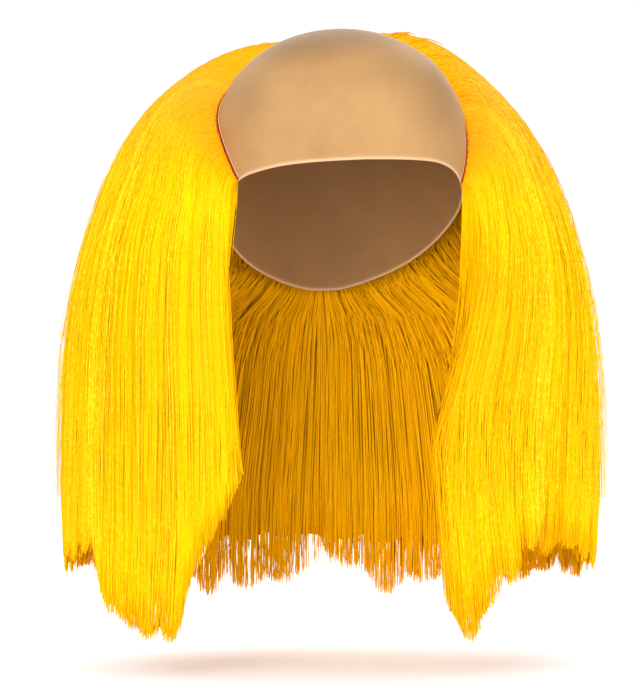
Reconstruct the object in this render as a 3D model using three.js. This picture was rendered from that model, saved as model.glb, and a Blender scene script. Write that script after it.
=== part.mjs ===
// Clown wig: a bald latex cap with long straight hair round its sides and back.
// Millimetres, +Z up. The face looks along -Y and the wearer's left is +X.
// The origin is the middle of the head, level with the cap's edge at the temples.
import * as THREE from "three";

// Cap: the outside of the latex, as worn
const capHalfWidth = 77;
const capFrontReach = 97;
const capBackReach = 96;
const capCentreY = 6;
const capWidestHeight = 30;
const crownHeight = 94;
const capLowerReach = 190;
const capWall = 1.6;

// Cap edge, from the forehead round to the nape
const foreheadEdgeHeight = 7.5;
const foreheadEdgeTilt = 3;
const napeEdgeDepth = 70;

// Hairline, from the temples up to the back of the crown
const templeAzimuth = 59;
const templeHairHeight = -3;
const crownHairHeight = 76;
const hairlineBend = 2.4;

// Hair: the outside of the mass, measured from the middle of its ring
const hairCentreY = 45;
const hairHalfWidth = 171;
const hairFrontReach = 100;
const hairBackReach = 92;
const hairDrop = 276;
const faceHalfOpening = 76;
const ringPower = 2.3;

// Hair thickness, lift from the cap, and the parting that the shoulders make
const sideThickness = 34;
const frontThickness = 26;
const backThickness = 32;
const rootThickness = 1.5;
const tipThickness = 4;
const closingStart = 0.7;
const archDrop = 0.18;
const insideArchDrop = 0.36;
const plainDrop = 0.62;
const swingDrop = 0.54;
const rootLift = 40;
const insideLift = 9;
const seatAboveEdge = 4;
const seatBelowRoot = 8;
const seatEasing = 1.5;
const insideLean = 0.12;
const archFullness = 0.78;
const crestRise = 25;
const crestTilt = 16;
const tiltFrom = 0.2;
const tiltFull = 0.7;
const shoulderSpread = 20;

// Locks: ridges along the hair, each with its own tip
const lockDepth = 3.5;
const lockPoint = 8;
const lockUneven = 5;
const lockTurn = 4.4;

// Seam along the hairline, and the clearances that keep the pieces apart
const seamWidth = 1.4;
const seamHeight = 1;
const seatGap = 0.7;
const seamGap = 0.4;
const lockGapAngle = 0.14;

// Fineness of the faceted surfaces
const capColumns = 44;
const capRows = 11;
const columnsInLock = 4;
const archRows = 6;
const fallRows = 4;
const tipRows = 3;
const seatRows = 4;
const insideArchRows = 7;
const seamSteps = 48;

// Edge of the cap: how far it has fallen from the forehead to the nape, by azimuth from the front
const capEdge = [
  { azimuth: 0, fall: 0 },
  { azimuth: 22, fall: 0.01 },
  { azimuth: 35, fall: 0.03 },
  { azimuth: 51, fall: 0.09 },
  { azimuth: 61, fall: 0.15 },
  { azimuth: 75, fall: 0.25 },
  { azimuth: 100, fall: 0.42 },
  { azimuth: 140, fall: 0.756 },
  { azimuth: 180, fall: 1 },
];

// Soft dents in the latex: azimuth towards the wearer's left, polar angle from the top, depth in walls
const capDents = [
  { azimuth: -68, polar: 62, spread: 15, depth: 1.1 },
  { azimuth: 34, polar: 44, spread: 17, depth: 1 },
  { azimuth: -12, polar: 26, spread: 14, depth: 0.8 },
  { azimuth: 70, polar: 66, spread: 12, depth: 0.8 },
];

// Outline of the hair by its drop below the temples: shares of the ring's own sizes
const hairOutline = [
  { drop: 0, width: 0.835, front: 0.93, back: 0.95, faceRight: 0.94, faceLeft: 0.94 },
  { drop: 0.18, width: 0.93, front: 0.97, back: 0.98, faceRight: 1.02, faceLeft: 1.03 },
  { drop: 0.36, width: 0.98, front: 1, back: 1, faceRight: 1, faceLeft: 0.92 },
  { drop: 0.46, width: 0.99, front: 1.02, back: 1, faceRight: 0.98, faceLeft: 0.8 },
  { drop: 0.6, width: 0.995, front: 1.04, back: 1, faceRight: 0.96, faceLeft: 0.68 },
  { drop: 0.72, width: 0.995, front: 1.07, back: 0.98, faceRight: 0.98, faceLeft: 0.71 },
  { drop: 1, width: 0.975, front: 1.12, back: 0.93, faceRight: 1.08, faceLeft: 0.78 },
];

// How strongly the hair stands off the cap where it starts, from the temple (0) to the back (1)
const rootRise = [
  { place: 0, lift: 0.12, crest: 0 },
  { place: 0.1, lift: 0.34, crest: 0 },
  { place: 0.22, lift: 0.6, crest: 0.1 },
  { place: 0.45, lift: 0.95, crest: 0.45 },
  { place: 0.7, lift: 1, crest: 1.15 },
  { place: 1, lift: 0.9, crest: 1.05 },
];

// Hem: how far down the hair reaches, as a share of the hair's drop, across each part of the hair
const hemFrontRight = [
  { across: 0, reach: 0.71 },
  { across: 0.12, reach: 0.79 },
  { across: 0.22, reach: 0.9 },
  { across: 0.31, reach: 0.985 },
  { across: 0.5, reach: 1.01 },
  { across: 0.7, reach: 0.99 },
  { across: 0.86, reach: 0.94 },
  { across: 1, reach: 0.86 },
];
const hemFrontLeft = [
  { across: 0, reach: 0.98 },
  { across: 0.12, reach: 1.02 },
  { across: 0.35, reach: 0.94 },
  { across: 0.65, reach: 0.86 },
  { across: 1, reach: 0.78 },
];
const hemBehind = [
  { across: 0, reach: 0.82 },
  { across: 0.3, reach: 0.87 },
  { across: 0.6, reach: 0.92 },
  { across: 1, reach: 0.95 },
];

// Where the shoulder parts the front hair from the rest, as a share of the way from temple to back
const shoulderPartingRight = 0.26;
const shoulderPartingLeft = 0.15;

// Sections of hair. station runs from -1 at the right temple, round the back at 0, to 1 at the left one
const sections = [
  { name: "front_lock_right", from: -1, to: shoulderPartingRight - 1, locks: 5 },
  { name: "side_lock_right", from: shoulderPartingRight - 1, to: -0.4, locks: 7 },
  { name: "back_lock_right", from: -0.4, to: 0, locks: 7 },
  { name: "back_lock_left", from: 0, to: 0.4, locks: 7 },
  { name: "side_lock_left", from: 0.4, to: 1 - shoulderPartingLeft, locks: 8 },
  { name: "front_lock_left", from: 1 - shoulderPartingLeft, to: 1, locks: 4 },
];

const degrees = Math.PI / 180;
const mix = THREE.MathUtils.lerp;
const smooth = THREE.MathUtils.smoothstep;

// One column of a table at a place between its rows, with no kinks at the rows
function along(table, key, column, place) {
  const last = table.length - 1;
  const at = THREE.MathUtils.clamp(place, table[0][key], table[last][key]);
  let i = 0;
  while (i < last - 1 && at > table[i + 1][key]) i += 1;
  const slope = (k) => {
    const a = table[Math.max(k - 1, 0)];
    const b = table[Math.min(k + 1, last)];
    return (b[column] - a[column]) / (b[key] - a[key]);
  };
  const span = table[i + 1][key] - table[i][key];
  const s = (at - table[i][key]) / span;
  const rise = table[i + 1][column] - table[i][column];
  const easeIn = s * (1 - s) * (1 - s) * (slope(i) * span - rise);
  const easeOut = s * s * (1 - s) * (rise - slope(i + 1) * span);
  return table[i][column] + rise * s + easeIn + easeOut;
}

// A point of the head form, by azimuth from the front and polar angle from the top, grown outwards
function headPoint(azimuth, polar, grow) {
  const reach = Math.cos(azimuth) > 0 ? capFrontReach : capBackReach;
  const round = 1 / Math.hypot(Math.sin(azimuth) / (capHalfWidth + grow), Math.cos(azimuth) / (reach + grow));
  const upper = crownHeight - capWidestHeight + grow;
  const height = Math.cos(polar) > 0 ? upper : capLowerReach;
  return new THREE.Vector3(
    round * Math.sin(polar) * Math.sin(azimuth),
    capCentreY - round * Math.sin(polar) * Math.cos(azimuth),
    capWidestHeight + height * Math.cos(polar),
  );
}

// The polar angle at which the head form has a height
function polarAt(height) {
  const above = height - capWidestHeight;
  const reach = above > 0 ? crownHeight - capWidestHeight : capLowerReach;
  return Math.acos(THREE.MathUtils.clamp(above / reach, -1, 1));
}

function direction(azimuth, polar) {
  return new THREE.Vector3().setFromSphericalCoords(1, polar, azimuth);
}

// How deep the dents press the latex in at a place on the cap
function dentDepth(azimuth, polar) {
  let depth = 0;
  for (const dent of capDents) {
    const apart = direction(azimuth, polar).angleTo(direction(dent.azimuth * degrees, dent.polar * degrees));
    depth += dent.depth * Math.exp(-((apart / (dent.spread * degrees)) ** 2));
  }
  return depth * capWall;
}

// Height of the cap's edge at an azimuth, which is negative on the wearer's right
function capEdgeHeight(azimuth) {
  const fall = along(capEdge, "azimuth", "fall", Math.abs(azimuth) / degrees);
  const tilt = foreheadEdgeTilt * Math.sin(azimuth) * (1 - smooth(fall, 0, 0.13));
  return mix(foreheadEdgeHeight, -napeEdgeDepth, fall) + tilt;
}

// The cap is a lathed shell whose vertices are then laid on the head form, down to the cap's own edge
function capGeometry() {
  const profile = [];
  for (let i = 0; i <= capRows; i += 1) profile.push(new THREE.Vector2(i / capRows, 0));
  for (let i = capRows; i >= 0; i -= 1) profile.push(new THREE.Vector2(i / capRows, 1));
  const geometry = new THREE.LatheGeometry(profile, capColumns);
  const { position, uv } = geometry.attributes;
  for (let i = 0; i < position.count; i += 1) {
    const turn = (uv.getX(i) % 1) * 360;
    const azimuth = (turn > 180 ? turn - 360 : turn) * degrees;
    const row = Math.hypot(position.getX(i), position.getZ(i));
    const polar = polarAt(capEdgeHeight(azimuth)) * row;
    const inwards = position.getY(i) > 0.5 ? 0 : capWall;
    const at = headPoint(azimuth, polar, -inwards - dentDepth(azimuth, polar));
    position.setXYZ(i, at.x, at.y, at.z);
  }
  return geometry;
}

// Share of the way from the temple to the middle of the back
function placeOf(station) {
  return 1 - Math.abs(station);
}

function hairlineAzimuth(station) {
  return Math.sign(station || 1) * mix(templeAzimuth, 180, placeOf(station)) * degrees;
}

function hairlineHeight(station) {
  return mix(crownHairHeight, templeHairHeight, Math.abs(station) ** hairlineBend);
}

// A point on the cap along a station's azimuth, at a height, standing off the latex
function capSeat(station, height, grow) {
  return headPoint(hairlineAzimuth(station), polarAt(height), grow);
}

// A point of the ring that the hanging hair makes, with layer 0 on its outside and 1 on its inside
function ringPoint(station, height, layer) {
  const drop = Math.max(0, -height / hairDrop);
  const width = hairHalfWidth * along(hairOutline, "drop", "width", drop) - layer * sideThickness;
  const front = hairFrontReach * along(hairOutline, "drop", "front", drop) - layer * frontThickness;
  const back = hairBackReach * along(hairOutline, "drop", "back", drop) - layer * backThickness;
  const face = faceHalfOpening * along(hairOutline, "drop", station < 0 ? "faceRight" : "faceLeft", drop);
  const start = Math.asin(Math.min(1, face / width) ** (ringPower / 2));
  const turn = mix(start, Math.PI, placeOf(station));
  const across = Math.sin(turn) ** (2 / ringPower);
  const ahead = Math.sign(Math.cos(turn)) * Math.abs(Math.cos(turn)) ** (2 / ringPower);
  const reach = ahead > 0 ? front : back;
  return new THREE.Vector3(
    Math.sign(station || 1) * width * across,
    hairCentreY - reach * ahead + shoulderShift(station, drop),
    height,
  );
}

function shoulderParting(station) {
  return station < 0 ? shoulderPartingRight : shoulderPartingLeft;
}

// The front hair swings forwards over the shoulder and the rest backwards, most at the parting
function shoulderShift(station, drop) {
  const beyond = placeOf(station) - shoulderParting(station);
  const near = Math.exp(-((beyond / shoulderParting(station)) ** 2) / 2);
  const way = sectionAt(station).name.startsWith("front") ? -1 : 1;
  return way * shoulderSpread * near * smooth(drop, swingDrop, 1);
}

function sectionAt(station) {
  return sections.find((s) => station >= s.from && station <= s.to);
}

// Where a station lies across its lock, from -1 to 1, and a number that tells the locks apart
function lockAt(section, station) {
  const share = ((station - section.from) / (section.to - section.from)) * section.locks;
  const number = Math.min(section.locks - 1, Math.floor(share + 1e-9));
  return { across: 2 * (share - number) - 1, number: number + 10 * sections.indexOf(section) };
}

// Height of the hem at a station, with each lock drawn out to a point of its own length
function tipHeight(section, station) {
  const parting = shoulderParting(station);
  const place = placeOf(station);
  const front = section.name.startsWith("front");
  const table = front ? (station < 0 ? hemFrontRight : hemFrontLeft) : hemBehind;
  const across = front ? place / parting : (place - parting) / (1 - parting);
  const lock = lockAt(section, station);
  const uneven = lockUneven * Math.sin(lock.number * lockTurn) * (1 - lock.across ** 2);
  return -hairDrop * along(table, "across", "reach", across) + lockPoint * lock.across ** 2 + uneven;
}

// Share of a lock's length where its outside leaves the arch, where its inside leaves the cap and the
// arch, and below which each lock runs down to its own tip
const hairRows = archRows + fallRows + tipRows;
const outsideArch = archRows / hairRows;
const insideSeat = seatRows / hairRows;
const insideArch = insideArchRows / hairRows;
const plainShare = (archRows + fallRows) / hairRows;

function bezier(points, share) {
  return new THREE.CubicBezierCurve3(...points).getPoint(share);
}

// The straight fall of the hair below an arch that ends at a share of the length
function fallPoint(station, tip, share, archEnd, archHeight, layer) {
  const plainHeight = -plainDrop * hairDrop;
  const height = share < plainShare
    ? mix(archHeight, plainHeight, (share - archEnd) / (plainShare - archEnd))
    : mix(plainHeight, tip, (share - plainShare) / (1 - plainShare));
  return ringPoint(station, height, layer);
}

// Outside of the hair: it springs off the cap, arches over and falls to its tip
function outsidePoint(station, tip, share) {
  const joint = -archDrop * hairDrop;
  if (share >= outsideArch) return fallPoint(station, tip, share, outsideArch, joint, 0);
  const height = hairlineHeight(station);
  const root = capSeat(station, height, seatGap + rootThickness);
  const outwards = capSeat(station, height, seatGap + rootThickness + 1).sub(root).normalize();
  const place = placeOf(station);
  const crest = crestRise * along(rootRise, "place", "crest", place);
  const lean = crestTilt * Math.sin(Math.PI * station) * smooth(place, tiltFrom, tiltFull);
  const first = root.clone().addScaledVector(outwards, rootLift * along(rootRise, "place", "lift", place));
  first.z += crest + lean;
  const end = ringPoint(station, joint, 0);
  const slope = ringPoint(station, joint - 1, 0).sub(end);
  const second = end.clone().addScaledVector(slope, -archFullness * (height - joint) - crest / 2);
  return bezier([root, first, second, end], share / outsideArch);
}

// Inside of the hair: it lies on the cap as far as the cap's edge, then swings out and falls
function insidePoint(station, tip, share) {
  const height = hairlineHeight(station);
  const edge = capEdgeHeight(hairlineAzimuth(station));
  const seatEnd = Math.min(edge + seatAboveEdge, height - seatBelowRoot);
  const lift = insideLift * along(rootRise, "place", "lift", placeOf(station));
  if (share <= insideSeat) {
    const down = share / insideSeat;
    return capSeat(station, mix(height, seatEnd, down ** seatEasing), seatGap + lift * down);
  }
  const joint = -insideArchDrop * hairDrop;
  if (share >= insideArch) return fallPoint(station, tip, share, insideArch, joint, 1);
  const start = capSeat(station, seatEnd, seatGap + lift);
  const end = ringPoint(station, joint, 1);
  const third = (seatEnd - joint) / 3;
  const first = start.clone().lerp(end, insideLean).setZ(seatEnd - third);
  const second = end.clone().setZ(joint + third);
  return bezier([start, first, second, end], (share - insideSeat) / (insideArch - insideSeat));
}

// The two ends of a box are split along opposite diagonals. Splitting them alike keeps the gap
// between neighbouring sections even where their ends are twisted.
function splitEndsAlike(geometry) {
  const { start, count } = geometry.groups[1];
  for (let i = start; i < start + count; i += 6) {
    const [a, b, d, , c] = geometry.index.array.slice(i, i + 5);
    geometry.index.array.set([a, b, c, a, c, d], i);
  }
}

// A section is a box whose vertices are moved: across it to stations, down it to shares of length,
// and through it from the outside of the hair to the inside
function sectionGeometry(section) {
  const columns = section.locks * columnsInLock;
  const geometry = new THREE.BoxGeometry(1, 1, 1, columns, hairRows, 1);
  splitEndsAlike(geometry);
  const { position } = geometry.attributes;
  const gap = lockGapAngle / (180 - templeAzimuth);
  for (let i = 0; i < position.count; i += 1) {
    const station = mix(section.from + gap, section.to - gap, 0.5 - position.getX(i));
    const share = 0.5 - position.getY(i);
    const tip = tipHeight(section, station);
    const outside = outsidePoint(station, tip, share);
    const inside = insidePoint(station, tip, share);
    const thickness = outside.distanceTo(inside);
    const closing = smooth(share, closingStart, 1);
    const groove = lockDepth * lockAt(section, station).across ** 4 * smooth(share, 0.05, 0.4);
    const depth = position.getZ(i) > 0 ? groove * (1 - closing) : mix(thickness, tipThickness, closing);
    const at = outside.lerp(inside, Math.min(1, depth / thickness));
    position.setXYZ(i, at.x, at.y, at.z);
  }
  return geometry;
}

// The seam follows the hairline on the cap, just above the hair's roots, from temple to temple
function seamGeometry() {
  const clear = seatGap / 2 + seamWidth / 2 + seamGap;
  const points = [];
  for (let i = 0; i <= seamSteps; i += 1) {
    const station = mix(-1, 1, i / seamSteps);
    const tangent = capSeat(Math.min(1, station + 0.01), hairlineHeight(Math.min(1, station + 0.01)), 0)
      .sub(capSeat(Math.max(-1, station - 0.01), hairlineHeight(Math.max(-1, station - 0.01)), 0));
    const foot = capSeat(station, hairlineHeight(station), 0);
    const outwards = capSeat(station, hairlineHeight(station), 1).sub(foot).normalize();
    const away = tangent.normalize().cross(outwards).normalize();
    if (away.z < 0) away.negate();
    points.push(foot.addScaledVector(outwards, seamGap + seamHeight / 2).addScaledVector(away, clear));
  }
  const outline = new THREE.Shape().absellipse(0, 0, seamHeight / 2, seamWidth / 2, 0, 2 * Math.PI);
  const path = new THREE.CatmullRomCurve3(points);
  return new THREE.ExtrudeGeometry(outline, { steps: seamSteps, curveSegments: 3, extrudePath: path });
}

const latex = new THREE.MeshStandardMaterial({ color: 0xd9ad7c, roughness: 0.55, metalness: 0 });
const hair = new THREE.MeshStandardMaterial({ color: 0xffd000, roughness: 0.45, metalness: 0 });
const thread = new THREE.MeshStandardMaterial({ color: 0x6e1d10, roughness: 0.8, metalness: 0 });

const wig = new THREE.Group();

function addPiece(name, geometry, material) {
  const piece = new THREE.Mesh(geometry, material);
  piece.name = name;
  wig.add(piece);
}

addPiece("bald_cap", capGeometry(), latex);
addPiece("hairline_seam", seamGeometry(), thread);
for (const section of sections) addPiece(section.name, sectionGeometry(section), hair);

export default wig;
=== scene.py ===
import math
import bmesh
import bpy
import numpy as np
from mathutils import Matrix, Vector


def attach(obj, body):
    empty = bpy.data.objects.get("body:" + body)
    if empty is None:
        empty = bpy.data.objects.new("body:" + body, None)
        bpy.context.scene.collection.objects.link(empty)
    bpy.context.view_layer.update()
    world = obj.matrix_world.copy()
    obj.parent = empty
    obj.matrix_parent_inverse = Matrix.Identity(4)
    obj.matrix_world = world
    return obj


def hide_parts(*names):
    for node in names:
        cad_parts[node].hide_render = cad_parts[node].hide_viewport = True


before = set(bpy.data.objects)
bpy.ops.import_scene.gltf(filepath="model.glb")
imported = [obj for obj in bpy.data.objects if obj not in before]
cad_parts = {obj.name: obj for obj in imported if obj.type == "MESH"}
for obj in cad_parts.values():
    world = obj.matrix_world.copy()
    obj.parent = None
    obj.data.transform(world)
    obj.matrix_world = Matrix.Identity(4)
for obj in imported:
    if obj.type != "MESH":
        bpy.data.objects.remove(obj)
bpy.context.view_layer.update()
scene = bpy.context.scene
scene.view_settings.view_transform = "Standard"
toMetres = 0.001
dice = np.random.default_rng(41)


def aimAt(obj, target):
    obj.rotation_euler = (Vector(target) - obj.location).to_track_quat("-Z", "Y").to_euler()


cameraSettings = {
    "azimuth": -8.0,  # degrees from the front, towards the wearer's right
    "distance": 2.0,
    "lens": 165.9,
    "aimAcross": -0.0136,  # metres along the picture from the part's origin
    "aimHeight": -0.1054,
}


def makeCamera(settings):
    turn = math.radians(settings["azimuth"])
    across = Vector((math.cos(turn), math.sin(turn), 0)) * settings["aimAcross"]
    aim = across + Vector((0, 0, settings["aimHeight"]))
    data = bpy.data.cameras.new("camera")
    data.lens = settings["lens"]
    data.sensor_width = 36
    camera = bpy.data.objects.new("camera", data)
    scene.collection.objects.link(camera)
    camera.location = aim + Vector((math.sin(turn), -math.cos(turn), 0)) * settings["distance"]
    aimAt(camera, aim)
    scene.camera = camera
    return aim


lightSettings = {
    "key": {"place": (-1.2, -2.0, 0.5), "size": 1.6, "power": 39},
    "fill": {"place": (1.7, -1.7, 0.1), "size": 1.6, "power": 28},
    "back": {"place": (0.4, 2.0, 0.6), "size": 1.6, "power": 20},
    "worldColor": (1.0, 1.0, 1.0),
    "worldStrength": 1.08,
}


def makeLights(settings, aim):
    for name in ("key", "fill", "back"):
        one = settings[name]
        data = bpy.data.lights.new(name, "AREA")
        data.size = one["size"]
        data.energy = one["power"]
        light = bpy.data.objects.new(name, data)
        scene.collection.objects.link(light)
        light.location = one["place"]
        aimAt(light, aim)
    world = bpy.data.worlds.new("studio")
    world.use_nodes = True
    background = world.node_tree.nodes["Background"]
    background.inputs["Color"].default_value = (*settings["worldColor"], 1)
    background.inputs["Strength"].default_value = settings["worldStrength"]
    scene.world = world


aimPoint = makeCamera(cameraSettings)
makeLights(lightSettings, aimPoint)
print("stage: camera and lights")


# an output in a material's node tree, for sums written as plain arithmetic
class Sock:
    def __init__(self, shader, socket):
        self.shader = shader
        self.socket = socket

    def maths(self, operation, a, b):
        return self.shader.add("ShaderNodeMath", {"operation": operation}, {0: a, 1: b}).out(0)

    def __add__(self, other):
        return self.maths("ADD", self, other)

    def __sub__(self, other):
        return self.maths("SUBTRACT", self, other)

    def __mul__(self, other):
        return self.maths("MULTIPLY", self, other)


class Added:
    def __init__(self, shader, node):
        self.shader = shader
        self.node = node

    def out(self, which):
        return Sock(self.shader, self.node.outputs[which])


class Shader:
    def __init__(self, name):
        self.material = bpy.data.materials.new(name)
        self.material.use_nodes = True
        self.tree = self.material.node_tree
        self.surface = self.tree.nodes["Principled BSDF"]

    def add(self, kind, settings=None, sockets=None):
        node = self.tree.nodes.new(kind)
        for key, value in (settings or {}).items():
            if key == "stops":
                self.setStops(node.color_ramp, value)
            else:
                setattr(node, key, value)
        for key, value in (sockets or {}).items():
            self.feed(node.inputs[key], value)
        return Added(self, node)

    def setStops(self, ramp, stops):
        while len(ramp.elements) < len(stops):
            ramp.elements.new(1)
        for element, (place, color) in zip(ramp.elements, stops):
            element.position = place
            element.color = (*color, 1)

    def feed(self, socket, value):
        if isinstance(value, Sock):
            self.tree.links.new(value.socket, socket)
        elif socket.type == "RGBA" and len(value) == 3:
            socket.default_value = (*value, 1)
        else:
            socket.default_value = value

    def noise(self, vector, scale, detail):
        sockets = {"Vector": vector, "Scale": scale, "Detail": detail}
        return self.add("ShaderNodeTexNoise", {}, sockets).out(0)

    def ramp(self, factor, stops):
        return self.add("ShaderNodeValToRGB", {"stops": stops}, {0: factor}).out(0)

    def mix(self, factor, a, b, blend="MIX"):
        settings = {"data_type": "RGBA", "blend_type": blend}
        return self.add("ShaderNodeMix", settings, {0: factor, 6: a, 7: b}).out(2)

    def finish(self, **values):
        for key, value in values.items():
            self.feed(self.surface.inputs[key.replace("_", " ")], value)
        return self.material


fibreMap = "OFBake"

fibreSettings = {
    "dashes": (230, 130),  # how often the painted glints repeat across the tones and along a strand
    "crimpGlints": 1.4,
    "drifts": (60, 11),
    "drift": 0.12,
    "tipwardPaintedLight": 0.1,  # painted light: paler towards the tips, deeper towards the roots
    "colors": [
        (0.0, (0.85, 0.32, 0.0)),
        (0.2, (0.98, 0.39, 0.0)),
        (0.42, (1.0, 0.44, 0.0)),
        (0.62, (1.0, 0.5, 0.0)),
        (0.82, (1.0, 0.59, 0.0)),
        # the palest stop is reached by the painted highlights
        (1.0, (1.0, 0.81, 0.05)),
    ],
    # painted shade: deeper and more orange near the roots and along the arch above them
    "rootPaintedShade": [
        (0.0, (1.0, 0.78, 0.6)),
        (0.03, (1.0, 0.86, 0.8)),
        (0.1, (1.0, 0.79, 0.7)),
        (0.34, (1.0, 1.0, 1.0)),
    ],
    "roughness": 0.45,
    "shine": 0.13,
    "shineTint": (1.0, 0.8, 0.12),
}


def makeFibreMaterial():
    f = fibreSettings
    shader = Shader("hair_fibre")
    uv = shader.add("ShaderNodeUVMap", {"uv_map": fibreMap}).out(0)
    split = shader.add("ShaderNodeSeparateXYZ", {}, {0: uv})
    tone, along = split.out(0), split.out(1)

    def patches(repeats, detail):
        sockets = {0: tone * repeats[0], 1: along * repeats[1]}
        return shader.noise(shader.add("ShaderNodeCombineXYZ", {}, sockets).out(0), 1.0, detail)

    # painted highlight and painted shade: short lighter and darker dashes along each strand, as crimped
    # fibre catches light
    crimpGlints = patches(f["dashes"], 2.0)
    drift = patches(f["drifts"], 1.0)
    shown = tone + (crimpGlints - 0.5) * f["crimpGlints"] + (drift - 0.5) * f["drift"] + (along - 0.5) * f["tipwardPaintedLight"]
    fibre = shader.ramp(shown, f["colors"])
    # the strands' colour times the painted shade near the roots
    color = shader.mix(1.0, fibre, shader.ramp(along, f["rootPaintedShade"]), "MULTIPLY")
    return shader.finish(
        Base_Color=color,
        Roughness=f["roughness"],
        Specular_IOR_Level=f["shine"],
        Specular_Tint=f["shineTint"],
    )


latexSettings = {
    "scales": (14.0, 90.0, 900.0),  # of the broad, fine and grain noise
    "details": (3.0, 4.0, 2.0),
    "mottle": [
        (0.3, (0.33, 0.178, 0.07)),
        (0.5, (0.40, 0.222, 0.086)),
        (0.7, (0.46, 0.262, 0.102)),
    ],
    "shadeColor": (0.265, 0.145, 0.057),
    "rim": (0.66, 0.41, 0.24),
    "rimHighlightStrength": 0.9,
    "relief": 0.15,
    "roughness": 0.55,
    "shine": 0.12,
}


def makeLatexMaterial():
    s = latexSettings
    shader = Shader("cap_latex")
    place = shader.add("ShaderNodeTexCoord").out("Object")
    broad, fine, grain = [shader.noise(place, *pair) for pair in zip(s["scales"], s["details"])]
    rim = shader.add("ShaderNodeAttribute", {"attribute_name": "rimShare"}).out("Fac")
    shade = shader.add("ShaderNodeAttribute", {"attribute_name": "shadeShare"}).out("Fac")
    mottle = shader.ramp(broad * 0.7 + fine * 0.2 + grain * 0.1, s["mottle"])
    # painted shade of the cap, from shadeShare, mottled by the broad noise
    skin = shader.mix(shade + (broad - 0.5) * 0.5, mottle, s["shadeColor"])
    # painted highlight along the forehead rim and on the welt
    skin = shader.mix(rim * s["rimHighlightStrength"], skin, s["rim"])
    bumps = {"Strength": s["relief"], "Distance": 0.001, "Height": fine * 0.7 + grain * 0.3}
    bump = shader.add("ShaderNodeBump", {}, bumps).out(0)
    return shader.finish(
        Base_Color=skin, Roughness=s["roughness"], Specular_IOR_Level=s["shine"], Normal=bump
    )


threadSettings = {
    "scale": 400.0,
    # dark red thread, which also stands in for the shadow in the gap between the cap's edge and the hair
    # roots: painted shade
    "colors": [(0.35, (0.2, 0.008, 0.003)), (0.65, (0.38, 0.03, 0.006))],
    "roughness": 0.85,
    "shine": 0.1,
}


def makeThreadMaterial():
    s = threadSettings
    shader = Shader("seam_thread")
    place = shader.add("ShaderNodeTexCoord").out("Object")
    color = shader.ramp(shader.noise(place, s["scale"], 2.0), s["colors"])
    return shader.finish(Base_Color=color, Roughness=s["roughness"], Specular_IOR_Level=s["shine"])


def makePaleMaterial():
    shader = Shader("studio_floor")
    return shader.finish(Base_Color=(0.95, 0.95, 0.95), Roughness=0.85)


fibreMaterial = makeFibreMaterial()
latexMaterial = makeLatexMaterial()
threadMaterial = makeThreadMaterial()
floorMaterial = makePaleMaterial()
print("stage: materials")

# form of the head and the hair, in millimetres
headForm = {
    "halfWidth": 77,
    "frontReach": 97,
    "backReach": 96,
    "centreY": 6,
    "widestHeight": 30,
    "crownHeight": 94,
    "lowerReach": 190,
    "foreheadEdge": 7.5,
    "foreheadTilt": 3,
    "napeEdge": -70,
    "tiltFade": 0.13,
    "edgeAzimuth": (0, 22, 35, 51, 61, 75, 100, 140, 160, 172, 180),
    "edgeFall": (0, 0.01, 0.03, 0.09, 0.15, 0.25, 0.42, 0.756, 0.895, 0.955, 0.965),
    "templeAzimuth": 59,
    "templeHeight": -3,
    "crownHairHeight": 76,
    "hairlineBend": 2.4,
}

headMiddle = np.array([0, headForm["centreY"], headForm["widestHeight"]])

hairForm = {
    "centreY": 45,
    "middle": (0, 30, -40),  # inside the hair, so that outward normals point away from it
    "normalStep": 0.004,  # in stations
    "halfWidth": 171,
    "frontReach": 100,
    "backReach": 92,
    "drop": 276,
    "faceHalfOpening": 76,
    "ringPower": 2.3,
    "sideThickness": 34,
    "frontThickness": 26,
    "backThickness": 32,
    "rootThickness": 1.5,
    "tipThickness": 4,
    "closingStart": 0.55,  # earlier than in the solids, so that no crease shows
    "archDrop": 0.18,
    "insideArchDrop": 0.36,
    "plainDrop": 0.62,
    "swingDrop": 0.54,
    "rootLift": 40,
    "insideLift": 9,
    "seatAboveEdge": 4,
    "seatBelowRoot": 8,
    "seatEasing": 1.5,
    "insideLean": 0.12,
    "lowLift": 0.45,  # how much of its lift a strand loses that leaves the cap flat
    "archFullness": 0.78,
    "crestRise": 25,
    "crestTilt": 16,
    "tiltFrom": 0.2,
    "tiltFull": 0.7,
    "shoulderSpread": 20,
    "lockDepth": 3.5,
    "lockPoint": 8,
    "lockUneven": 5,
    "lockTurn": 4.4,
    "seatGap": 0.7,
    "archEnd": 6 / 13,
    "seatEnd": 4 / 13,
    "insideArchEnd": 7 / 13,
    "plainEnd": 10 / 13,
    "outlineDrop": (0, 0.18, 0.36, 0.46, 0.6, 0.72, 1),
    "outlineWidth": (0.835, 0.93, 0.98, 0.99, 0.995, 0.995, 0.975),
    "outlineFront": (0.93, 0.97, 1, 1.02, 1.04, 1.07, 1.12),
    "outlineBack": (0.95, 0.98, 1, 1, 1, 0.98, 0.93),
    "faceRight": (0.94, 1.02, 1, 0.98, 0.96, 0.98, 1.08),
    "faceLeft": (0.94, 1.03, 0.92, 0.8, 0.68, 0.71, 0.78),
    "risePlace": (0, 0.1, 0.22, 0.45, 0.7, 1),
    "riseLift": (0.12, 0.34, 0.6, 0.95, 1, 0.9),
    "riseCrest": (0, 0, 0.1, 0.45, 1.15, 1.05),
    "partingRight": 0.26,
    "partingLeft": 0.15,
    "hemBehind": ((0, 0.3, 0.6, 1), (0.82, 0.87, 0.92, 0.95)),
    "hemFrontRight": (
        (0, 0.12, 0.22, 0.31, 0.5, 0.7, 0.86, 1),
        (0.71, 0.79, 0.9, 0.985, 1.01, 0.99, 0.94, 0.86),
    ),
    "hemFrontLeft": ((0, 0.12, 0.35, 0.65, 1), (0.98, 1.02, 0.94, 0.86, 0.78)),
}

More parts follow.
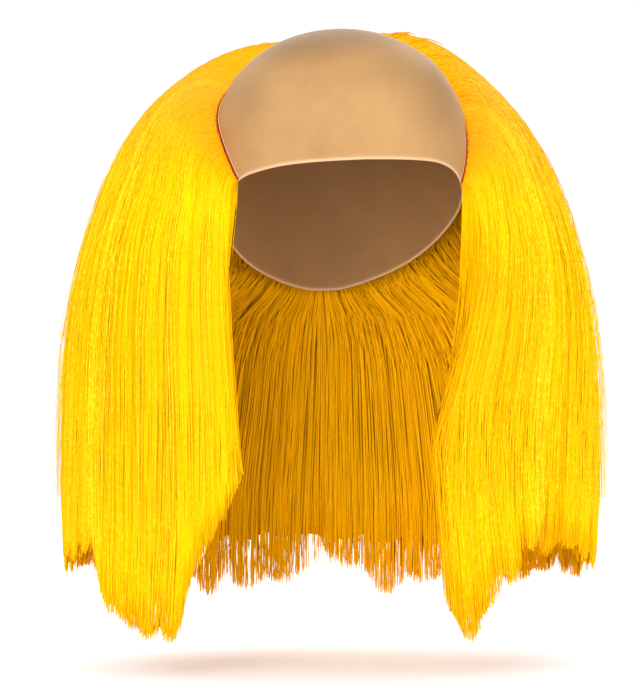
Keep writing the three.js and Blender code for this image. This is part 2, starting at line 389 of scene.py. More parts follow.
# from and to are stations round the hairline: -1 and 1 at the face, 0 at the back;
# wallHigh is the share of the end strands that hang at the section's far end
sectionTable = [
    {"name": "hair_front_right", "node": "front_lock_right",
     "from": -1.0, "to": -0.74, "locks": 5, "wallHigh": 0.3},
    {"name": "hair_side_right", "node": "side_lock_right",
     "from": -0.74, "to": -0.4, "locks": 7, "wallHigh": 0.0},
    {"name": "hair_back_right", "node": "back_lock_right",
     "from": -0.4, "to": 0.0, "locks": 7, "wallHigh": 0.5},
    {"name": "hair_back_left", "node": "back_lock_left",
     "from": 0.0, "to": 0.4, "locks": 7, "wallHigh": 0.5},
    {"name": "hair_side_left", "node": "side_lock_left",
     "from": 0.4, "to": 0.85, "locks": 8, "wallHigh": 1.0},
    {"name": "hair_front_left", "node": "front_lock_left",
     "from": 0.85, "to": 1.0, "locks": 4, "wallHigh": 0.7},
]


def blendTo(a, b, share):
    return a + (b - a) * share


def unit(vectors, least=1e-9):
    return vectors / np.maximum(np.linalg.norm(vectors, axis=-1, keepdims=True), least)


def smoothStep(x, low, high):
    t = np.clip((x - low) / (high - low), 0, 1)
    return t * t * (3 - 2 * t)


def tableAt(keys, values, at):
    # a smooth curve through the table's values
    keys, values = np.asarray(keys, float), np.asarray(values, float)
    at = np.clip(at, keys[0], keys[-1])
    i = np.clip(np.searchsorted(keys, at, side="right") - 1, 0, len(keys) - 2)
    every = np.arange(len(keys))
    low, high = np.maximum(every - 1, 0), np.minimum(every + 1, len(keys) - 1)
    slope = (values[high] - values[low]) / (keys[high] - keys[low])
    span = keys[i + 1] - keys[i]
    s = (at - keys[i]) / span
    rise = values[i + 1] - values[i]
    easeIn = s * (1 - s) ** 2 * (slope[i] * span - rise)
    easeOut = s * s * (1 - s) * (rise - slope[i + 1] * span)
    return values[i] + rise * s + easeIn + easeOut


def headPoint(azimuth, polar, grow):
    # a point on the cap, grow millimetres outside it
    f = headForm
    reach = np.where(np.cos(azimuth) > 0, f["frontReach"], f["backReach"])
    around = 1 / np.hypot(np.sin(azimuth) / (f["halfWidth"] + grow), np.cos(azimuth) / (reach + grow))
    upper = f["crownHeight"] - f["widestHeight"] + grow
    height = np.where(np.cos(polar) > 0, upper, f["lowerReach"])
    return np.stack([
        around * np.sin(polar) * np.sin(azimuth),
        f["centreY"] - around * np.sin(polar) * np.cos(azimuth),
        f["widestHeight"] + height * np.cos(polar),
    ], axis=-1)


def polarAt(height):
    f = headForm
    above = height - f["widestHeight"]
    reach = np.where(above > 0, f["crownHeight"] - f["widestHeight"], f["lowerReach"])
    return np.arccos(np.clip(above / reach, -1, 1))


def capEdgeHeight(azimuth):
    f = headForm
    fall = tableAt(f["edgeAzimuth"], f["edgeFall"], np.abs(np.degrees(azimuth)))
    tilt = f["foreheadTilt"] * np.sin(azimuth) * (1 - smoothStep(fall, 0, f["tiltFade"]))
    return blendTo(f["foreheadEdge"], f["napeEdge"], fall) + tilt


def signOf(station):
    return np.where(station < 0, -1.0, 1.0)


def placeOf(station):
    return 1 - np.abs(station)


def hairlineAzimuth(station):
    return signOf(station) * np.radians(blendTo(headForm["templeAzimuth"], 180, placeOf(station)))


def hairlineHeight(station):
    f = headForm
    return blendTo(f["crownHairHeight"], f["templeHeight"], np.abs(station) ** f["hairlineBend"])


def capSeat(station, height, grow):
    return headPoint(hairlineAzimuth(station), polarAt(height), grow)


def hairlinePoints(count, above, grow):
    station = np.linspace(-1, 1, count)
    return capSeat(station, hairlineHeight(station) + above, grow)


def partingOf(station):
    return np.where(station < 0, hairForm["partingRight"], hairForm["partingLeft"])


def ringPoint(station, height, layer, way):
    # layer is 0 on the hair's outside and 1 on its inside; way is -1 where it swings forward
    f = hairForm
    drop = np.maximum(0, -height / f["drop"])

    def sizeAt(size, outline, thickness):
        return f[size] * tableAt(f["outlineDrop"], f[outline], drop) - layer * f[thickness]

    width = sizeAt("halfWidth", "outlineWidth", "sideThickness")
    front = sizeAt("frontReach", "outlineFront", "frontThickness")
    back = sizeAt("backReach", "outlineBack", "backThickness")
    right = tableAt(f["outlineDrop"], f["faceRight"], drop)
    left = tableAt(f["outlineDrop"], f["faceLeft"], drop)
    face = f["faceHalfOpening"] * np.where(station < 0, right, left)
    start = np.arcsin(np.minimum(1, face / width) ** (f["ringPower"] / 2))
    turn = np.clip(blendTo(start, np.pi, placeOf(station)), 0, np.pi)
    across = np.maximum(np.sin(turn), 0) ** (2 / f["ringPower"])
    ahead = np.sign(np.cos(turn)) * np.abs(np.cos(turn)) ** (2 / f["ringPower"])
    beyond = (placeOf(station) - partingOf(station)) / partingOf(station)
    swing = way * f["shoulderSpread"] * np.exp(-beyond ** 2 / 2) * smoothStep(drop, f["swingDrop"], 1)
    behind = f["centreY"] - np.where(ahead > 0, front, back) * ahead + swing
    return np.stack([signOf(station) * width * across, behind, height], axis=-1)


def bezier(points, share):
    s = share[..., None]
    a, b, c, d = points
    return a * (1 - s) ** 3 + 3 * b * s * (1 - s) ** 2 + 3 * c * s * s * (1 - s) + d * s ** 3


def fallPoint(station, tip, share, archEnd, archHeight, layer, way):
    f = hairForm
    plain = -f["plainDrop"] * f["drop"]
    upper = blendTo(archHeight, plain, (share - archEnd) / (f["plainEnd"] - archEnd))
    lower = blendTo(plain, tip, (share - f["plainEnd"]) / (1 - f["plainEnd"]))
    return ringPoint(station, np.where(share < f["plainEnd"], upper, lower), layer, way)


def setZ(points, height):
    moved = points.copy()
    moved[..., 2] = height
    return moved


def outsidePoint(station, tip, share, way, low):
    # low is how much flatter than the hair's outside a strand leaves the cap
    f = hairForm
    joint = -f["archDrop"] * f["drop"] + 0 * station
    height = hairlineHeight(station)
    place = placeOf(station)
    root = capSeat(station, height, f["seatGap"] + f["rootThickness"])
    outwards = capSeat(station, height, f["seatGap"] + f["rootThickness"] + 1) - root
    outwards = unit(outwards)
    crest = f["crestRise"] * tableAt(f["risePlace"], f["riseCrest"], place)
    lift = f["rootLift"] * tableAt(f["risePlace"], f["riseLift"], place)
    first = root + outwards * (lift * (1 - f["lowLift"] * low))[..., None]
    lean = f["crestTilt"] * np.sin(np.pi * station) * smoothStep(place, f["tiltFrom"], f["tiltFull"])
    first[..., 2] += (crest + lean) * (1 - low)
    end = ringPoint(station, joint, 0, way)
    slope = ringPoint(station, joint - 1, 0, way) - end
    second = end + slope * (-f["archFullness"] * (height - joint) - crest / 2)[..., None]
    arch = bezier((root, first, second, end), np.clip(share / f["archEnd"], 0, 1))
    fall = fallPoint(station, tip, np.maximum(share, f["archEnd"]), f["archEnd"], joint, 0, way)
    return np.where((share < f["archEnd"])[..., None], arch, fall)


def insidePoint(station, tip, share, way):
    f = hairForm
    height = hairlineHeight(station)
    edge = capEdgeHeight(hairlineAzimuth(station))
    seatFoot = np.minimum(edge + f["seatAboveEdge"], height - f["seatBelowRoot"])
    lift = f["insideLift"] * tableAt(f["risePlace"], f["riseLift"], placeOf(station))
    down = np.clip(share / f["seatEnd"], 0, 1)
    seatHeight = blendTo(height, seatFoot, down ** f["seatEasing"])
    seat = capSeat(station, seatHeight, f["seatGap"] + lift * down)
    joint = -f["insideArchDrop"] * f["drop"] + 0 * station
    start = capSeat(station, seatFoot, f["seatGap"] + lift)
    end = ringPoint(station, joint, 1, way)
    third = (seatFoot - joint) / 3
    first = setZ(blendTo(start, end, f["insideLean"]), seatFoot - third)
    second = setZ(end, joint + third)
    archShare = np.clip((share - f["seatEnd"]) / (f["insideArchEnd"] - f["seatEnd"]), 0, 1)
    arch = bezier((start, first, second, end), archShare)
    below = np.maximum(share, f["insideArchEnd"])
    fall = fallPoint(station, tip, below, f["insideArchEnd"], joint, 1, way)
    point = np.where((share < f["insideArchEnd"])[..., None], arch, fall)
    return np.where((share <= f["seatEnd"])[..., None], seat, point)


def acrossLock(section, station):
    # -1 to 1 across the lock that a station is in, and a number that no other lock has
    share = (station - section["from"]) / (section["to"] - section["from"]) * section["locks"]
    number = np.clip(np.floor(share + 1e-9), 0, section["locks"] - 1)
    return 2 * (share - number) - 1, number + 10 * sectionTable.index(section)


def tipHeight(section, station):
    f = hairForm
    place, parting = placeOf(station), partingOf(station)
    if "front" in section["name"]:
        table = f["hemFrontRight"] if section["to"] < 0 else f["hemFrontLeft"]
        across = place / parting
    else:
        table = f["hemBehind"]
        across = (place - parting) / (1 - parting)
    lockAcross, number = acrossLock(section, station)
    uneven = f["lockUneven"] * np.sin(number * f["lockTurn"]) * (1 - lockAcross ** 2)
    return -f["drop"] * tableAt(*table, across) + f["lockPoint"] * lockAcross ** 2 + uneven


def hairLayers(section, station, tip, share, low):
    way = -1 if "front" in section["name"] else 1
    outside = outsidePoint(station, tip, share, way, low)
    inside = insidePoint(station, tip, share, way)
    thickness = np.linalg.norm(inside - outside, axis=-1)
    inwards = (inside - outside) / np.maximum(thickness, 1e-6)[..., None]
    closing = smoothStep(share, hairForm["closingStart"], 1)
    return outside, inwards, blendTo(thickness, hairForm["tipThickness"], closing)


def outwardNormals(section, station, tip, share, outside, low):
    beside = station - hairForm["normalStep"] * signOf(station)
    across = outside - hairLayers(section, beside, tip, share, low)[0]
    normal = unit(np.cross(np.gradient(outside, axis=1), across))
    away = np.sum(normal * (outside - np.array(hairForm["middle"])), axis=-1, keepdims=True)
    return np.where(away < 0, -normal, normal)


def makeObject(name, mesh, material, node):
    obj = bpy.data.objects.new(name, mesh)
    scene.collection.objects.link(obj)
    mesh.materials.append(material)
    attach(obj, "root")
    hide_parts(node)


def sweepArrays(paths, radii, facing, sides):
    # points of many thin round bars: strand, ring, side
    tangent = unit(np.gradient(paths, axis=1))
    side = unit(np.cross(tangent, facing))
    rise = np.cross(side, tangent)
    turn = 2 * np.pi * np.arange(sides) / sides
    ring = rise[:, :, None] * np.cos(turn)[:, None] + side[:, :, None] * np.sin(turn)[:, None]
    return paths[:, :, None] + ring * radii[:, :, None, None]


def barFaces(count, rings, sides):
    start = (np.arange(count) * rings * sides)[:, None, None]
    row = (np.arange(rings - 1) * sides)[None, :, None]
    k = np.arange(sides)
    after = (k + 1) % sides
    a, b = start + row + k, start + row + after
    quads = np.stack([a, b, b + sides, a + sides], axis=-1).reshape(-1, 4)
    first = (np.arange(count) * rings * sides)[:, None] + k[::-1]
    last = (np.arange(count) * rings * sides)[:, None] + (rings - 1) * sides + k
    return quads, np.concatenate([first, last])


def meshFromBars(name, points, tones=None, along=None, toneWidth=0):
    count, rings, sides = points.shape[:3]
    quads, caps = barFaces(count, rings, sides)
    mesh = bpy.data.meshes.new(name)
    mesh.vertices.add(count * rings * sides)
    mesh.vertices.foreach_set("co", (points * toMetres).astype(np.float32).ravel())
    loops = np.concatenate([quads.ravel(), caps.ravel()])
    mesh.loops.add(len(loops))
    mesh.loops.foreach_set("vertex_index", loops.astype(np.int32))
    totals = np.concatenate([np.full(len(quads), 4), np.full(len(caps), sides)])
    mesh.polygons.add(len(totals))
    mesh.polygons.foreach_set("loop_start", (np.cumsum(totals) - totals).astype(np.int32))
    mesh.polygons.foreach_set("loop_total", totals.astype(np.int32))
    mesh.update(calc_edges=True)
    if tones is not None:
        strand, ring, k = loops // (rings * sides), loops // sides % rings, loops % sides
        wrapped = np.concatenate([np.tile([0, 1, 1, 0], len(quads)), np.zeros(caps.size)])
        acrossBar = np.where((k == 0) & (wrapped == 1), sides, k) / sides - 0.5
        uv = np.stack([tones[strand] + acrossBar * toneWidth, along[strand, ring]], axis=-1)
        layer = mesh.uv_layers.new(name=fibreMap)
        layer.data.foreach_set("uv", np.clip(uv, 0.001, 0.999).astype(np.float32).ravel())
    mesh.polygons.foreach_set("use_smooth", np.ones(len(totals), bool))
    return mesh


# lengths are in millimetres, widths round the head in stations and places along a strand in shares
strandSettings = {
    "shares": (0, 0.02, 0.055, 0.095, 0.14, 0.19, 0.245, 0.305, 0.37, 0.45, 0.57, 0.71, 0.86, 1),
    "jitter": 0.35,
    "counts": (1950, 1950, 1600, 1600, 2100, 1350),
    "innerPart": (0.2, 0.24, 0.5, 0.5, 0.24, 0.24),
    "wallPart": (0.14, 0.08, 0.0, 0.0, 0.08, 0.2),
    "wallStray": 0.004,
    "wallDrift": 0.6,
    "clumpWidth": 0.018,
    "clumpPoint": 5,
    "gather": 0.12,
    "gatherSpread": (0, 1.3),
    "gatherEase": 1.3,
    "proud": 0.5,
    "usualDepth": 0.2,
    "deep": 1.0,
    "depthGrows": (-0.05, 0.18),
    "pastInside": 0.3,
    "innerDepth": (0.7, 1, 1.02),  # in thicknesses of the hair
    "seatDepth": (0.4, 1),
    "seatedUntil": 0.05,
    "sway": 0.9,
    "swayGrows": (0.05, 0.9),
    "clumpWaves": 4,
    "ownWaves": (11, 0.5),  # how many, in radians along the strand, and how strong
    "depthWaves": (13, 0.35),
    "drift": 0.008,
    "driftEase": 1.5,
    "ragged": 3.5,
    "pastTip": 4,
    "shortest": 0.3,
    "grooved": 0.35,
    "grooveStarts": (0.05, 0.4),
    "lowArch": 0.3,  # part of the strands that leave the cap flatter, and how much flatter
    "lowness": (0.15, 0.9),
    "combed": 1.5,  # how far back on the hairline a strand starts
    "combedUntil": 0.75,  # in lengths of the arch
    "stray": 0.012,
    "radius": 0.33,
    "radiusSpread": (0.7, 1.3),
    "taper": ((0, 0.1, 0.7, 0.93, 1), (0.75, 1, 1, 1, 0.55)),
    "sides": 3,
    "short": 0.08,
    "shortReach": (0.04, 0.16),
    "shortLowness": (-0.1, 0.5),
    "flyaways": 0.05,
    "flyawayReach": 7.0,
    "flyawaySpread": (0.2, 1),
    "flyawayEase": 0.7,
    "flyawayLifts": (0, 0.5),
    "flyawayRaised": (-6, 110),
    "flyawayRadius": 0.5,
    "flatLit": 0.8,
    "flatLitUntil": (0.84, 0.94),
}

toneSettings = {
    "middle": 0.6,
    "clump": 0.018,
    "strand": 0.03,
    # paler along each parting, where light shows through the thinner hair: painted light
    "partingWidth": 0.015,
    "parting": 0.14,
    # inner strands deeper and more orange: painted shade for the inside of the hair
    "inner": -0.12,
    "flyaway": (0.55, 0.85),
    "range": (0.05, 0.95),
    "width": 0.012,  # from side to side of one strand
}


def endShare(section, station, raised):
    # how far along its lock a strand runs when it ends a few millimetres above the tip
    f = hairForm
    lower = -f["plainDrop"] * f["drop"] - tipHeight(section, station)
    return np.maximum(1 - raised / lower * (1 - f["plainEnd"]), strandSettings["shortest"])


def strandStations(section, count, wall):
    # walls are the ends of a section, which the face opening and the shoulders lay bare
    stray = strandSettings["wallStray"]
    low = -1.0 if section["from"] == -1 else section["from"] - stray
    high = 1.0 if section["to"] == 1 else section["to"] + stray
    station = dice.uniform(low, high, count)
    toHigh = dice.random(count) < section["wallHigh"]
    station = np.where(wall, np.where(toHigh, high, low), station)
    return station, low, high


def jitteredShares(count):
    # where along a strand its rings lie, a little different on each so that no bend lines up
    even = np.array(strandSettings["shares"])
    room = np.minimum(np.diff(even)[:-1], np.diff(even)[1:]) * strandSettings["jitter"]
    moved = np.tile(even, (count, 1))
    moved[:, 1:-1] += dice.uniform(-1, 1, (count, len(room))) * room
    return moved


def grooveDepth(section, station, share):
    # how far the strands sink in between two locks
    s = strandSettings
    lockAcross, _ = acrossLock(section, station)
    growing = smoothStep(share, *s["grooveStarts"])
    return s["grooved"] * hairForm["lockDepth"] * lockAcross ** 4 * growing


def strandPaths(section, index):
    s = strandSettings
    count = s["counts"][index]
    kind = dice.random(count)
    inner = kind < s["innerPart"][index]
    wall = ~inner & (kind < s["innerPart"][index] + s["wallPart"][index])
    flying = kind > 1 - s["flyaways"]
    station, low, high = strandStations(section, count, wall)
    clumps = np.sort(dice.uniform(low, high, max(4, int((high - low) / s["clumpWidth"]))))
    nearest = np.abs(station[:, None] - clumps[None, :]).argmin(axis=1)
    clump = np.where(wall, station, clumps[nearest])
    aside = s["clumpPoint"] * np.abs(clump - station) / s["clumpWidth"]
    raised = dice.exponential(s["ragged"], count) - s["pastTip"] + aside
    raised = np.where(flying, dice.uniform(*s["flyawayRaised"], count), raised)
    end = endShare(section, station, raised)
    short = ~inner & ~wall & ~flying & (dice.random(count) < s["short"])
    end = np.where(short, dice.uniform(*s["shortReach"], count), end)
    share = jitteredShares(count) * end[:, None]
    # the strand's way round the head: drawn to its clump, drifting, and combed back near the root
    gather = s["gather"] * dice.uniform(*s["gatherSpread"], count)
    pull = (clump - station)[:, None] * gather[:, None] * share ** s["gatherEase"]
    drift = dice.normal(0, s["drift"], count)
    drift = np.where(wall, drift * s["wallDrift"], drift)
    combed = s["combed"] * station * np.abs(station) * placeOf(station) * ~(inner | wall)
    back = combed[:, None] * (1 - smoothStep(share, 0, s["combedUntil"] * hairForm["archEnd"]))
    path = station[:, None] + pull + drift[:, None] * share ** s["driftEase"]
    lane = np.clip(path, low - s["stray"], high + s["stray"])
    path = lane - back
    flatter = (dice.random(count) < s["lowArch"]) & ~wall
    flatness = np.where(flatter, dice.uniform(*s["lowness"], count), 0)
    flatness = np.where(short, dice.uniform(*s["shortLowness"], count), flatness)[:, None]
    tip = tipHeight(section, lane)
    outside, inwards, thickness = hairLayers(section, path, tip, share, flatness)
    outwards = outwardNormals(section, path, tip, share, outside, flatness)
    # how deep under the hair's outside it runs
    depth = dice.triangular(-s["proud"], s["usualDepth"], s["deep"], count)[:, None]
    depth = depth * smoothStep(share, *s["depthGrows"])
    innerDepth = thickness * dice.triangular(*s["innerDepth"], count)[:, None]
    depth = np.where(inner[:, None], innerDepth, depth)
    depth = np.where(wall[:, None], thickness * dice.uniform(0, 1, count)[:, None], depth)
    lift = dice.uniform(*s["flyawaySpread"], count)[:, None] * s["flyawayReach"] * share ** s["flyawayEase"]
    depth = np.where(flying[:, None], -lift * smoothStep(share, *s["flyawayLifts"]), depth)
    seated = thickness * dice.uniform(*s["seatDepth"], count)[:, None]
    depth = blendTo(seated, depth, smoothStep(share, 0, s["seatedUntil"]))
    groove = np.where((inner | wall)[:, None], 0, grooveDepth(section, lane, share))
    depth = np.minimum(depth + groove, thickness + s["pastInside"])
    points = outside + inwards * depth[..., None]
    # slow waves that a clump shares, and quicker ones of the strand's own
    phase = dice.uniform(0, 2 * np.pi, (2, count, 1))
    clumpPhase = dice.uniform(0, 2 * np.pi, len(clumps))[nearest][:, None]
    size = s["sway"] * smoothStep(share, *s["swayGrows"])
    side = unit(np.cross(inwards, np.gradient(points, axis=1)))
    turns, strength = s["ownWaves"]
    wave = np.sin(turns * share + phase[0]) * strength + np.sin(s["clumpWaves"] * share + clumpPhase)
    points = points + side * (size * wave)[..., None]
    turns, strength = s["depthWaves"]
    points = points - inwards * (strength * size * np.sin(turns * share + phase[1]))[..., None]
    # the ends hang free and are seen from both sides
    massed = (1 - smoothStep(share, *s["flatLitUntil"]))[..., None] * ~wall[:, None, None]
    facing = np.where(inner[:, None, None], -outwards, outwards) * massed
    return points, share, inwards, facing, strandTones(station, nearest, inner, flying), flying


def strandTones(station, nearest, inner, flying):
    t = toneSettings
    clumpTone = dice.normal(0, t["clump"], nearest.max() + 1)[nearest]
    tone = t["middle"] + clumpTone + dice.normal(0, t["strand"], len(station))
    # painted light: a paler band along each parting
    parting = np.abs(placeOf(station) - partingOf(station)) < t["partingWidth"]
    tone = np.where(parting, tone + t["parting"], tone)
    # painted shade on the inner strands
    tone = np.where(inner, tone + t["inner"], tone)
    tone = np.where(flying, dice.uniform(*t["flyaway"], len(station)), tone)
    return np.clip(tone, *t["range"])


bodySettings = {
    "columnsInLock": 8,
    "rows": 36,
    "inset": 0.8,
    "insetMost": 0.3,  # this and the next three in thicknesses of the hair
    "grooveMost": 0.5,
    "innerDepth": 0.75,
    "closedDepth": 0.6,
    "closing": (0.8, 0.91),
    "faceInset": 0.008,  # in stations
    "overlap": 0.004,
    "end": (0.912, 0.938),
    "endEven": 4,  # neighbouring columns averaged
    "low": 0.2,
    "tone": (0.47, 0.55),
    # painted shade: the shell deeper and more orange towards its lower end
    "tipPaintedShade": 0.15,
    "tipShares": (0.8, 0.95),
    "rimTone": 0.45,
}


def hairBody(section):
    # a closed shell just under the strands, so that nothing shows through them
    b = bodySettings
    columns = section["locks"] * b["columnsInLock"]
    low = section["from"] + (b["faceInset"] if section["from"] == -1 else -b["overlap"])
    high = section["to"] - (b["faceInset"] if section["to"] == 1 else -b["overlap"])
    bm = bmesh.new()
    layer = bm.loops.layers.uv.new(fibreMap)
    toneOf = dice.uniform(*b["tone"], columns + 1)
    evening = np.full(b["endEven"], 1 / b["endEven"])
    endOf = np.convolve(dice.uniform(*b["end"], columns + b["endEven"]), evening, "valid")
    for inner in (False, True):
        made = bmesh.ops.create_grid(bm, x_segments=columns, y_segments=b["rows"], size=0.5)["verts"]
        at = np.array([v.co[:2] for v in made])
        column = np.rint((at[:, 0] + 0.5) * columns).astype(int)
        station = blendTo(low, high, np.clip(at[:, 0] + 0.5, 0, 1))
        share = np.clip(at[:, 1] + 0.5, 0, 1) * endOf[column]
        tip = tipHeight(section, station)
        outside, inwards, thickness = hairLayers(section, station, tip, share, b["low"])
        room = np.minimum(b["inset"], thickness * b["insetMost"])
        outer = np.minimum(room + grooveDepth(section, station, share), thickness * b["grooveMost"])
        depth = thickness * b["innerDepth"] if inner else outer
        depth = blendTo(depth, thickness * b["closedDepth"], smoothStep(share, *b["closing"]))
        points = (outside + inwards * depth[:, None]) * toMetres
        faces = {f for v in made for f in v.link_faces}
        uvOf = {}
        for v, tone, sh, point in zip(made, toneOf[column], share, points):
            uvOf[v] = (tone - b["tipPaintedShade"] * smoothStep(sh, *b["tipShares"]), sh)
            v.co = point
        for face in faces:
            for loop in face.loops:
                loop[layer].uv = uvOf[loop.vert]
    edges = [e for e in bm.edges if e.is_boundary]
    bmesh.ops.bridge_loops(bm, edges=edges)
    bmesh.ops.recalc_face_normals(bm, faces=bm.faces)
    for face in bm.faces:
        face.smooth = True
        # the faces that close the rim have no place on the map yet, and get a small one
        for k, loop in enumerate(face.loops):
            if loop[layer].uv.length == 0:
                loop[layer].uv = (b["rimTone"] + 0.02 * (k % 2), 0.3 + 0.1 * (k // 2))
    mesh = bpy.data.meshes.new("body")
    bm.to_mesh(mesh)
    bm.free()
    return mesh


def joinedMesh(name, parts):
    whole = bmesh.new()
    for part in parts:
        whole.from_mesh(part)
        bpy.data.meshes.remove(part)
    mesh = bpy.data.meshes.new(name)
    whole.to_mesh(mesh)
    whole.free()
    return mesh


def makeHair(section, index):
    s = strandSettings
    points, share, inwards, facing, tones, flying = strandPaths(section, index)
    taper = tableAt(*s["taper"], np.array(s["shares"]))
    radii = s["radius"] * dice.uniform(*s["radiusSpread"], len(points))[:, None] * taper[None, :]
    radii = np.where(flying[:, None], radii * s["flyawayRadius"], radii)
    bars = sweepArrays(points, radii, -inwards, s["sides"])
    strands = meshFromBars("strands", bars, tones, share, toneSettings["width"])
    mesh = joinedMesh(section["name"], [strands, hairBody(section)])
    # strands are lit nearly as the smooth mass they lie on; a zero normal leaves the body's own
    around = (bars - points[:, :, None]) / np.maximum(radii, 1e-6)[:, :, None, None]
    normals = blendTo(around, facing[:, :, None] + 0 * around, s["flatLit"]).reshape(-1, 3)
    normals = unit(normals, 1e-6)
    own = np.zeros((len(mesh.vertices) - len(normals), 3))
    mesh.normals_split_custom_set_from_vertices(np.concatenate([normals, own]).astype(np.float32))
    makeObject(section["name"], mesh, fibreMaterial, section["node"])


for place, one in enumerate(sectionTable):
    makeHair(one, place)
    print("stage:", one["name"])


capSettings = {
    "wall": 1.6,
    "rimWall": 0.9,
    "rimBead": 0.25,
    "rowCrowding": 1.5,
    "beadAt": (0.996, 0.003),  # place and width, as shares of the way from the crown to the edge
    "rimThins": (0.9, 1),
    # painted highlight along the forehead rim
    "rimHighlightAt": (0.9925, 0.996),
    "weltAbove": 2.5,
    "weltGrow": 0.1,
    "weltRadius": 0.4,
    "weltSteps": 220,
    "weltHighlight": 0.8,
    "around": 160,
    "rows": 56,
    "dents": [  # azimuth, polar, spread, depth
        (-68, 62, 15, 1.1),
        (34, 44, 17, 1.0),
        (-12, 26, 14, 0.8),
        (70, 66, 12, 0.8),
    ],
    "shadePatches": [  # painted shade in soft patches on the front: across, height, half width, half height, strength
        (-41, 80, 30, 11, 0.7),
        (-8, 88, 34, 9, 0.75),
        (26, 60, 30, 12, 0.4),
        (54, 50, 14, 26, 0.6),
        (-64, 46, 10, 18, 0.5),
        (66, 20, 10, 26, 0.35),
        (38, 38, 16, 14, 0.3),
    ],
    "shadePatchFade": (-30, 60),
    "topShade": (62, 96, 0.35),  # painted shade over the top: from, to, strength
    "backShade": (0, 60, 0.3),
}


# painted shade on the cap: darker over the top, towards the back and in soft patches on the front
def paintedShadeAt(points):
    c = capSettings
    topFrom, topTo, topShade = c["topShade"]
    backFrom, backTo, backShade = c["backShade"]
    share = smoothStep(points[:, 2], topFrom, topTo) * topShade
    share = share + smoothStep(points[:, 1], backFrom, backTo) * backShade
    front = 1 - smoothStep(points[:, 1], *c["shadePatchFade"])
    for across, height, halfWidth, halfHeight, strength in c["shadePatches"]:
        apart = np.hypot((points[:, 0] - across) / halfWidth, (points[:, 2] - height) / halfHeight)
        share = share + strength * np.exp(-apart ** 2) * front
    return np.clip(share, 0, 1)


def directions(azimuth, polar):
    flat = np.sin(polar)
    return np.stack([flat * np.sin(azimuth), -flat * np.cos(azimuth), np.cos(polar)], axis=-1)


def dentDepth(azimuth, polar):
    depth = 0
    for turn, fall, spread, size in capSettings["dents"]:
        middle = directions(np.radians(turn), np.radians(fall))
        apart = np.arccos(np.clip(directions(azimuth, polar) @ middle, -1, 1))
        depth = depth + size * np.exp(-(apart / np.radians(spread)) ** 2)
    return depth * capSettings["wall"]


def makeCap():
    c = capSettings
    bm = bmesh.new()
    bmesh.ops.create_uvsphere(bm, u_segments=c["around"], v_segments=2 * c["rows"], radius=1)
    at = np.array([v.co[:] for v in bm.verts])
    azimuth = np.arctan2(at[:, 0], -at[:, 1])
    # the ball's upper half becomes the outside of the cap and its lower half the inside
    down = np.arccos(np.clip(at[:, 2], -1, 1)) / (np.pi / 2)
    inner = down > 1 + 1e-6
    row = 1 - np.clip(1 - np.where(inner, 2 - down, down), 0, 1) ** c["rowCrowding"]
    polar = polarAt(capEdgeHeight(azimuth)) * row
    beadPlace, beadWidth = c["beadAt"]
    bead = c["rimBead"] * np.exp(-((row - beadPlace) / beadWidth) ** 2)
    wall = blendTo(c["wall"], c["rimWall"], smoothStep(row, *c["rimThins"]))
    grow = np.where(inner, -wall - bead, bead) - dentDepth(azimuth, polar)
    points = headPoint(azimuth, polar, grow)
    for v, point in zip(bm.verts, points):
        v.co = point * toMetres
    bmesh.ops.recalc_face_normals(bm, faces=bm.faces)
    for face in bm.faces:
        face.smooth = True
    shell = bpy.data.meshes.new("shell")
    bm.to_mesh(shell)
    bm.free()
    # a thin welt of latex beside the seam, painted pale as a highlight on its raised edge
    welt = hairlinePoints(c["weltSteps"], c["weltAbove"], c["weltGrow"])[None]
    bar = sweepArrays(welt, np.full(welt.shape[:2], c["weltRadius"]), welt - headMiddle, 8)
    mesh = joinedMesh("bald_cap_skin", [shell, meshFromBars("welt", bar)])
    everyPoint = np.concatenate([points, bar.reshape(-1, 3)])
    # painted highlight: the forehead rim and the welt paler
    rim = np.concatenate([smoothStep(row, *c["rimHighlightAt"]), np.full(bar.size // 3, c["weltHighlight"])])
    shade = paintedShadeAt(everyPoint)
    for name, values in (("rimShare", rim), ("shadeShare", shade)):
        mesh.attributes.new(name, "FLOAT", "POINT").data.foreach_set("value", values.astype(np.float32))
    makeObject("bald_cap_skin", mesh, latexMaterial, "bald_cap")


makeCap()
print("stage: cap")

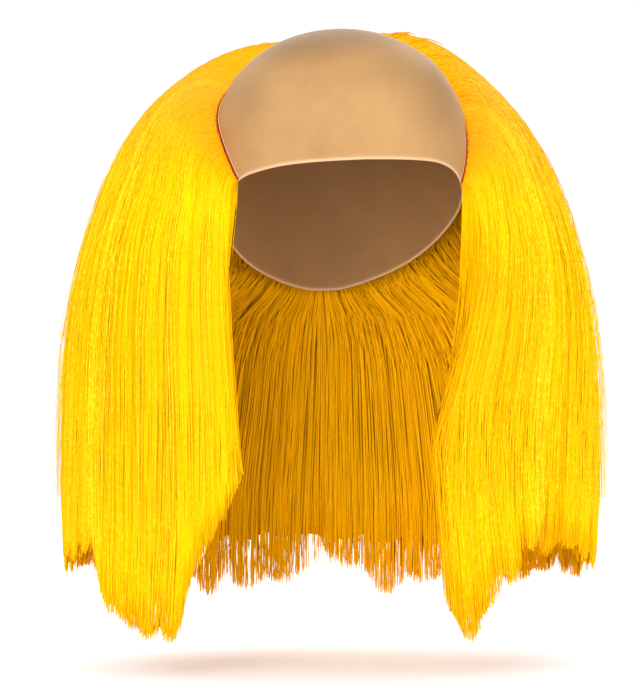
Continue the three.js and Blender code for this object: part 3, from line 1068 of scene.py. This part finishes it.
seamSettings = {
    "radius": 0.5,
    "above": 0.9,
    "grow": 0.65,
    "wander": 0.25,
    "swelling": 0.12,
    "steps": 260,
    "stitches": 210,
    "stitchReach": 0.995,  # in stations, like the next two
    "stitchStray": 0.001,
    "stitchSlant": 0.004,
    "stitchLength": 2.0,
    "stitchBow": 0.45,
    "stitchRadius": 0.18,
}


def makeSeam():
    s = seamSettings
    steps = np.arange(s["steps"])
    wander = s["wander"] * (np.sin(steps * 0.31) + 0.5 * np.sin(steps * 0.83))
    path = hairlinePoints(s["steps"], s["above"] + wander, s["grow"])[None]
    radii = s["radius"] * (1 + s["swelling"] * np.sin(steps * 1.3))[None]
    # the dark red cord is partly painted shadow along the hairline
    cord = meshFromBars("cord", sweepArrays(path, radii, path - headMiddle, 8))
    station = np.linspace(-s["stitchReach"], s["stitchReach"], s["stitches"])
    station = station + dice.normal(0, s["stitchStray"], s["stitches"])
    across = np.linspace(-0.5, 0.5, 5)
    height = hairlineHeight(station)[:, None] + s["above"] + across * s["stitchLength"]
    bow = s["grow"] + s["stitchBow"] * np.cos(across * np.pi)
    slanted = np.clip(station[:, None] + across * s["stitchSlant"], -1, 1)
    stitches = capSeat(slanted, height, bow + 0 * height)
    radii = np.full(stitches.shape[:2], s["stitchRadius"])
    threads = meshFromBars("threads", sweepArrays(stitches, radii, stitches - headMiddle, 5))
    mesh = joinedMesh("seam_track", [cord, threads])
    makeObject("seam_track", mesh, threadMaterial, "hairline_seam")


makeSeam()
print("stage: seam")

floorSettings = {"height": -0.302, "radius": 12.0, "segments": 96}


def makeFloor():
    f = floorSettings
    bm = bmesh.new()
    bmesh.ops.create_circle(bm, cap_ends=True, segments=f["segments"], radius=f["radius"])
    bmesh.ops.translate(bm, verts=bm.verts, vec=(0, 0, f["height"]))
    bmesh.ops.recalc_face_normals(bm, faces=bm.faces)
    if bm.faces[:][0].normal.z < 0:
        bmesh.ops.reverse_faces(bm, faces=bm.faces)
    mesh = bpy.data.meshes.new("studio_floor")
    bm.to_mesh(mesh)
    bm.free()
    mesh.materials.append(floorMaterial)
    obj = bpy.data.objects.new("studio_floor", mesh)
    scene.collection.objects.link(obj)


makeFloor()
print("stage: floor")
